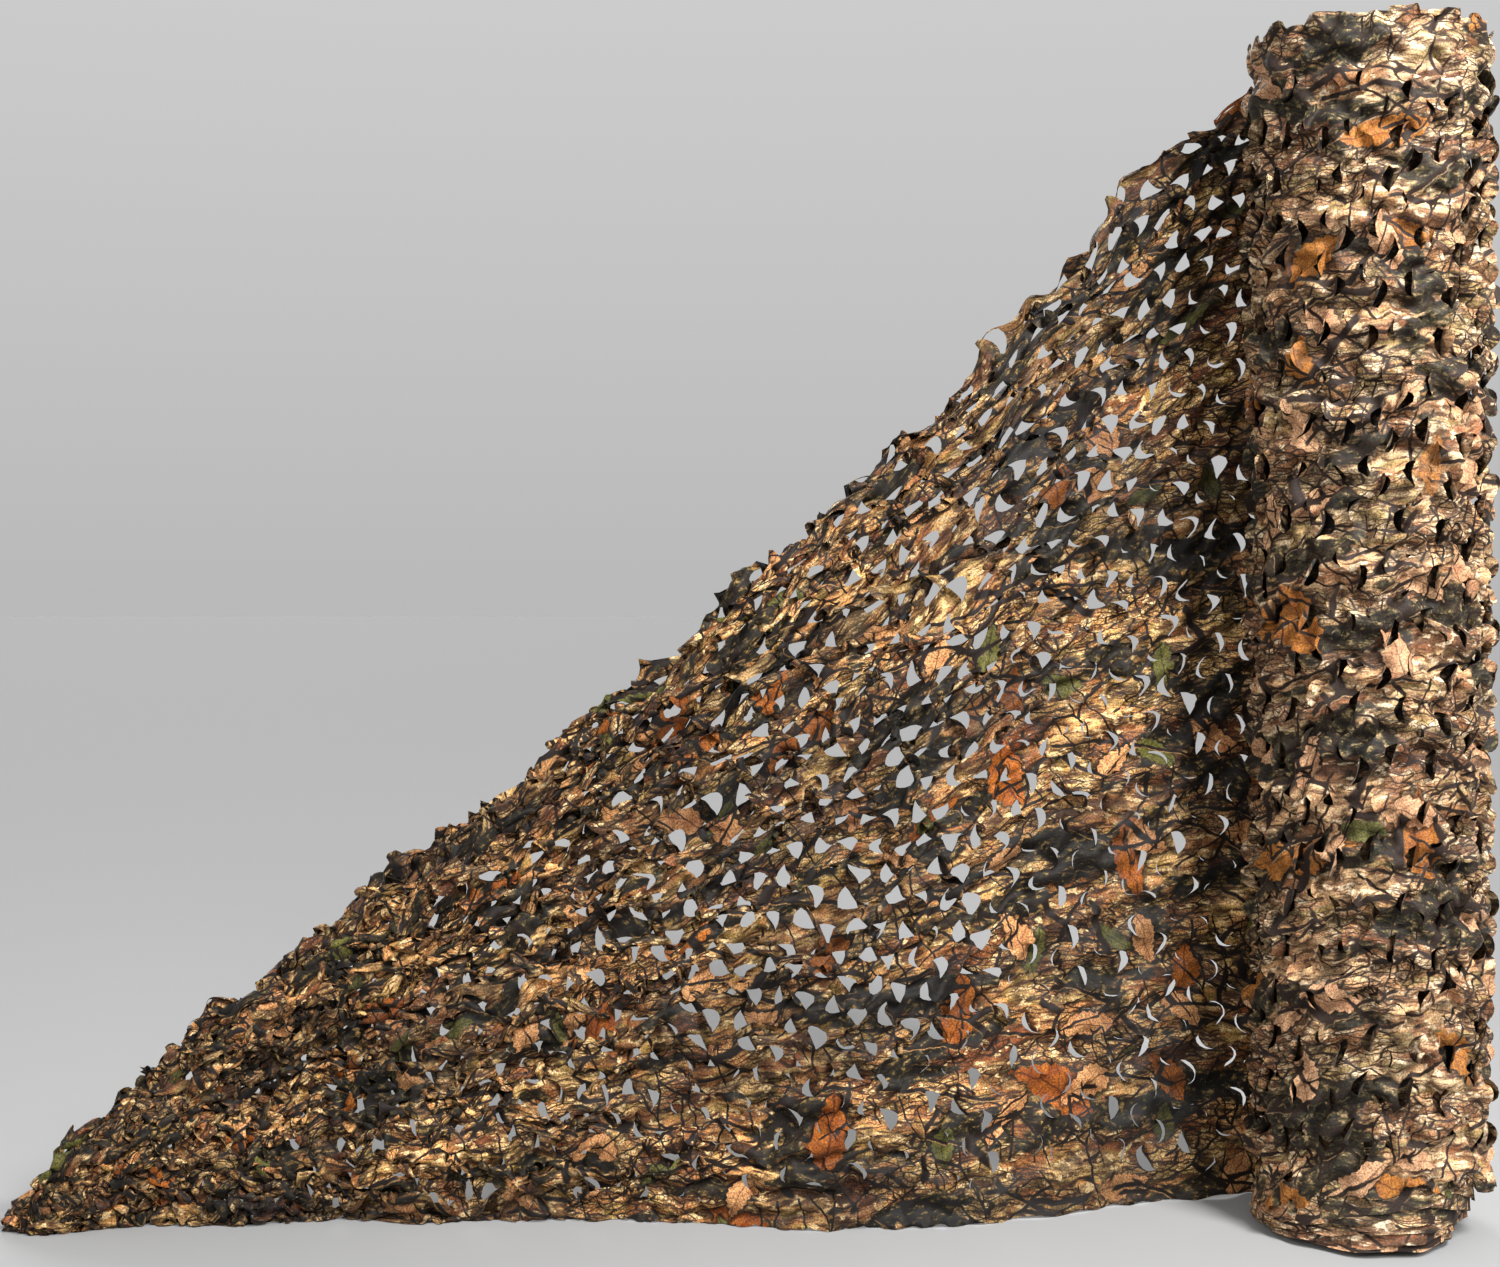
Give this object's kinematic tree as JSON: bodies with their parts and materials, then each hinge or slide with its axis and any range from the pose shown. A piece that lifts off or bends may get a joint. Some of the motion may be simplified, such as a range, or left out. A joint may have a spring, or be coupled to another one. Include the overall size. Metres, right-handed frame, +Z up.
{
  "type": "camouflage net",
  "caption": "Die-cut woodland camouflage netting wound into a roll that stands on end, its loose end drawn out to one side and sinking to a point on the floor.",
  "frame": {"origin": "centre of the roll's flat foot, on the floor", "axes": "+Z up along the roll, -X out along the loose end, -Y to the front"},
  "size_m": [1.873, 0.3025, 1.5],
  "materials": {
    "roll_netting": "matt printed woven polyester with S-shaped cuts, its tongues standing off the winding",
    "loose_netting": "matt printed woven polyester with S-shaped cuts that stand open"
  },
  "bodies": {
    "root": {"net_roll": "roll_netting", "loose_end": "loose_netting"}
  },
  "joints": []
}
